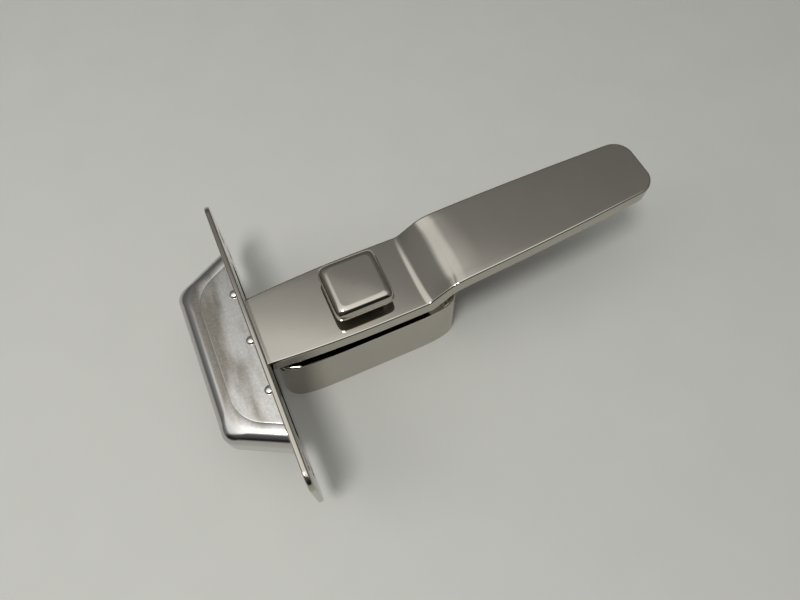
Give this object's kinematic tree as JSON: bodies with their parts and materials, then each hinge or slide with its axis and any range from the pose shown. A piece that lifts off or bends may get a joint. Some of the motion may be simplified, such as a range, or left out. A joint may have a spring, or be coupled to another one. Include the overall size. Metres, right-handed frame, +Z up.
{
  "type": "transom door lever latch",
  "caption": "Cranked lever turning on a block base, with a square push-down lock button, and a plate strike whose pressed cup takes the lever's tongue.",
  "frame": {"origin": "on the lever's pivot axis, in the plane of the base's underside, midway between the two fixing screws", "axes": "+X along the lever towards the handle, so the strike is at -X; +Z up, out of the surface that the base is fixed to"},
  "size_m": [0.1793, 0.1131, 0.0511],
  "materials": {
    "polished_stainless": "polished cast stainless steel, near mirror",
    "pressed_stainless": "pressed stainless steel, dull, with weld heat tint",
    "turned_stainless": "turned stainless steel",
    "spring_steel": "spring stainless steel",
    "acetal": "natural acetal",
    "nitrile": "black nitrile rubber"
  },
  "bodies": {
    "base": {"base_casting": "polished_stainless", "pivot_post": "turned_stainless", "thrust_washer": "acetal", "lock_disc": "turned_stainless", "lock_dowel": "turned_stainless", "lock_ring": "spring_steel", "stem_sleeves": "acetal", "detent_ring": "nitrile", "post_clip": "spring_steel", "strike_plate": "polished_stainless", "strike_cup": "pressed_stainless", "tack_welds": "pressed_stainless"},
    "lever": {"lever": "polished_stainless", "pivot_bush": "acetal", "cap_washer": "turned_stainless", "spring_washer": "spring_steel"},
    "button": {"push_button": "polished_stainless", "button_stem": "turned_stainless", "cross_pin": "turned_stainless", "guide_pins": "turned_stainless"}
  },
  "joints": [
    {"name": "lever_swing", "type": "hinge", "parent": "base", "child": "lever", "pos_m": [0, 0, 0.0328], "axis": [0, 0, 1], "range_deg": [-90, 90]},
    {"name": "button_press", "type": "slide", "parent": "lever", "child": "button", "axis": [0, 0, 1], "range_m": [-0.004, 0]}
  ]
}
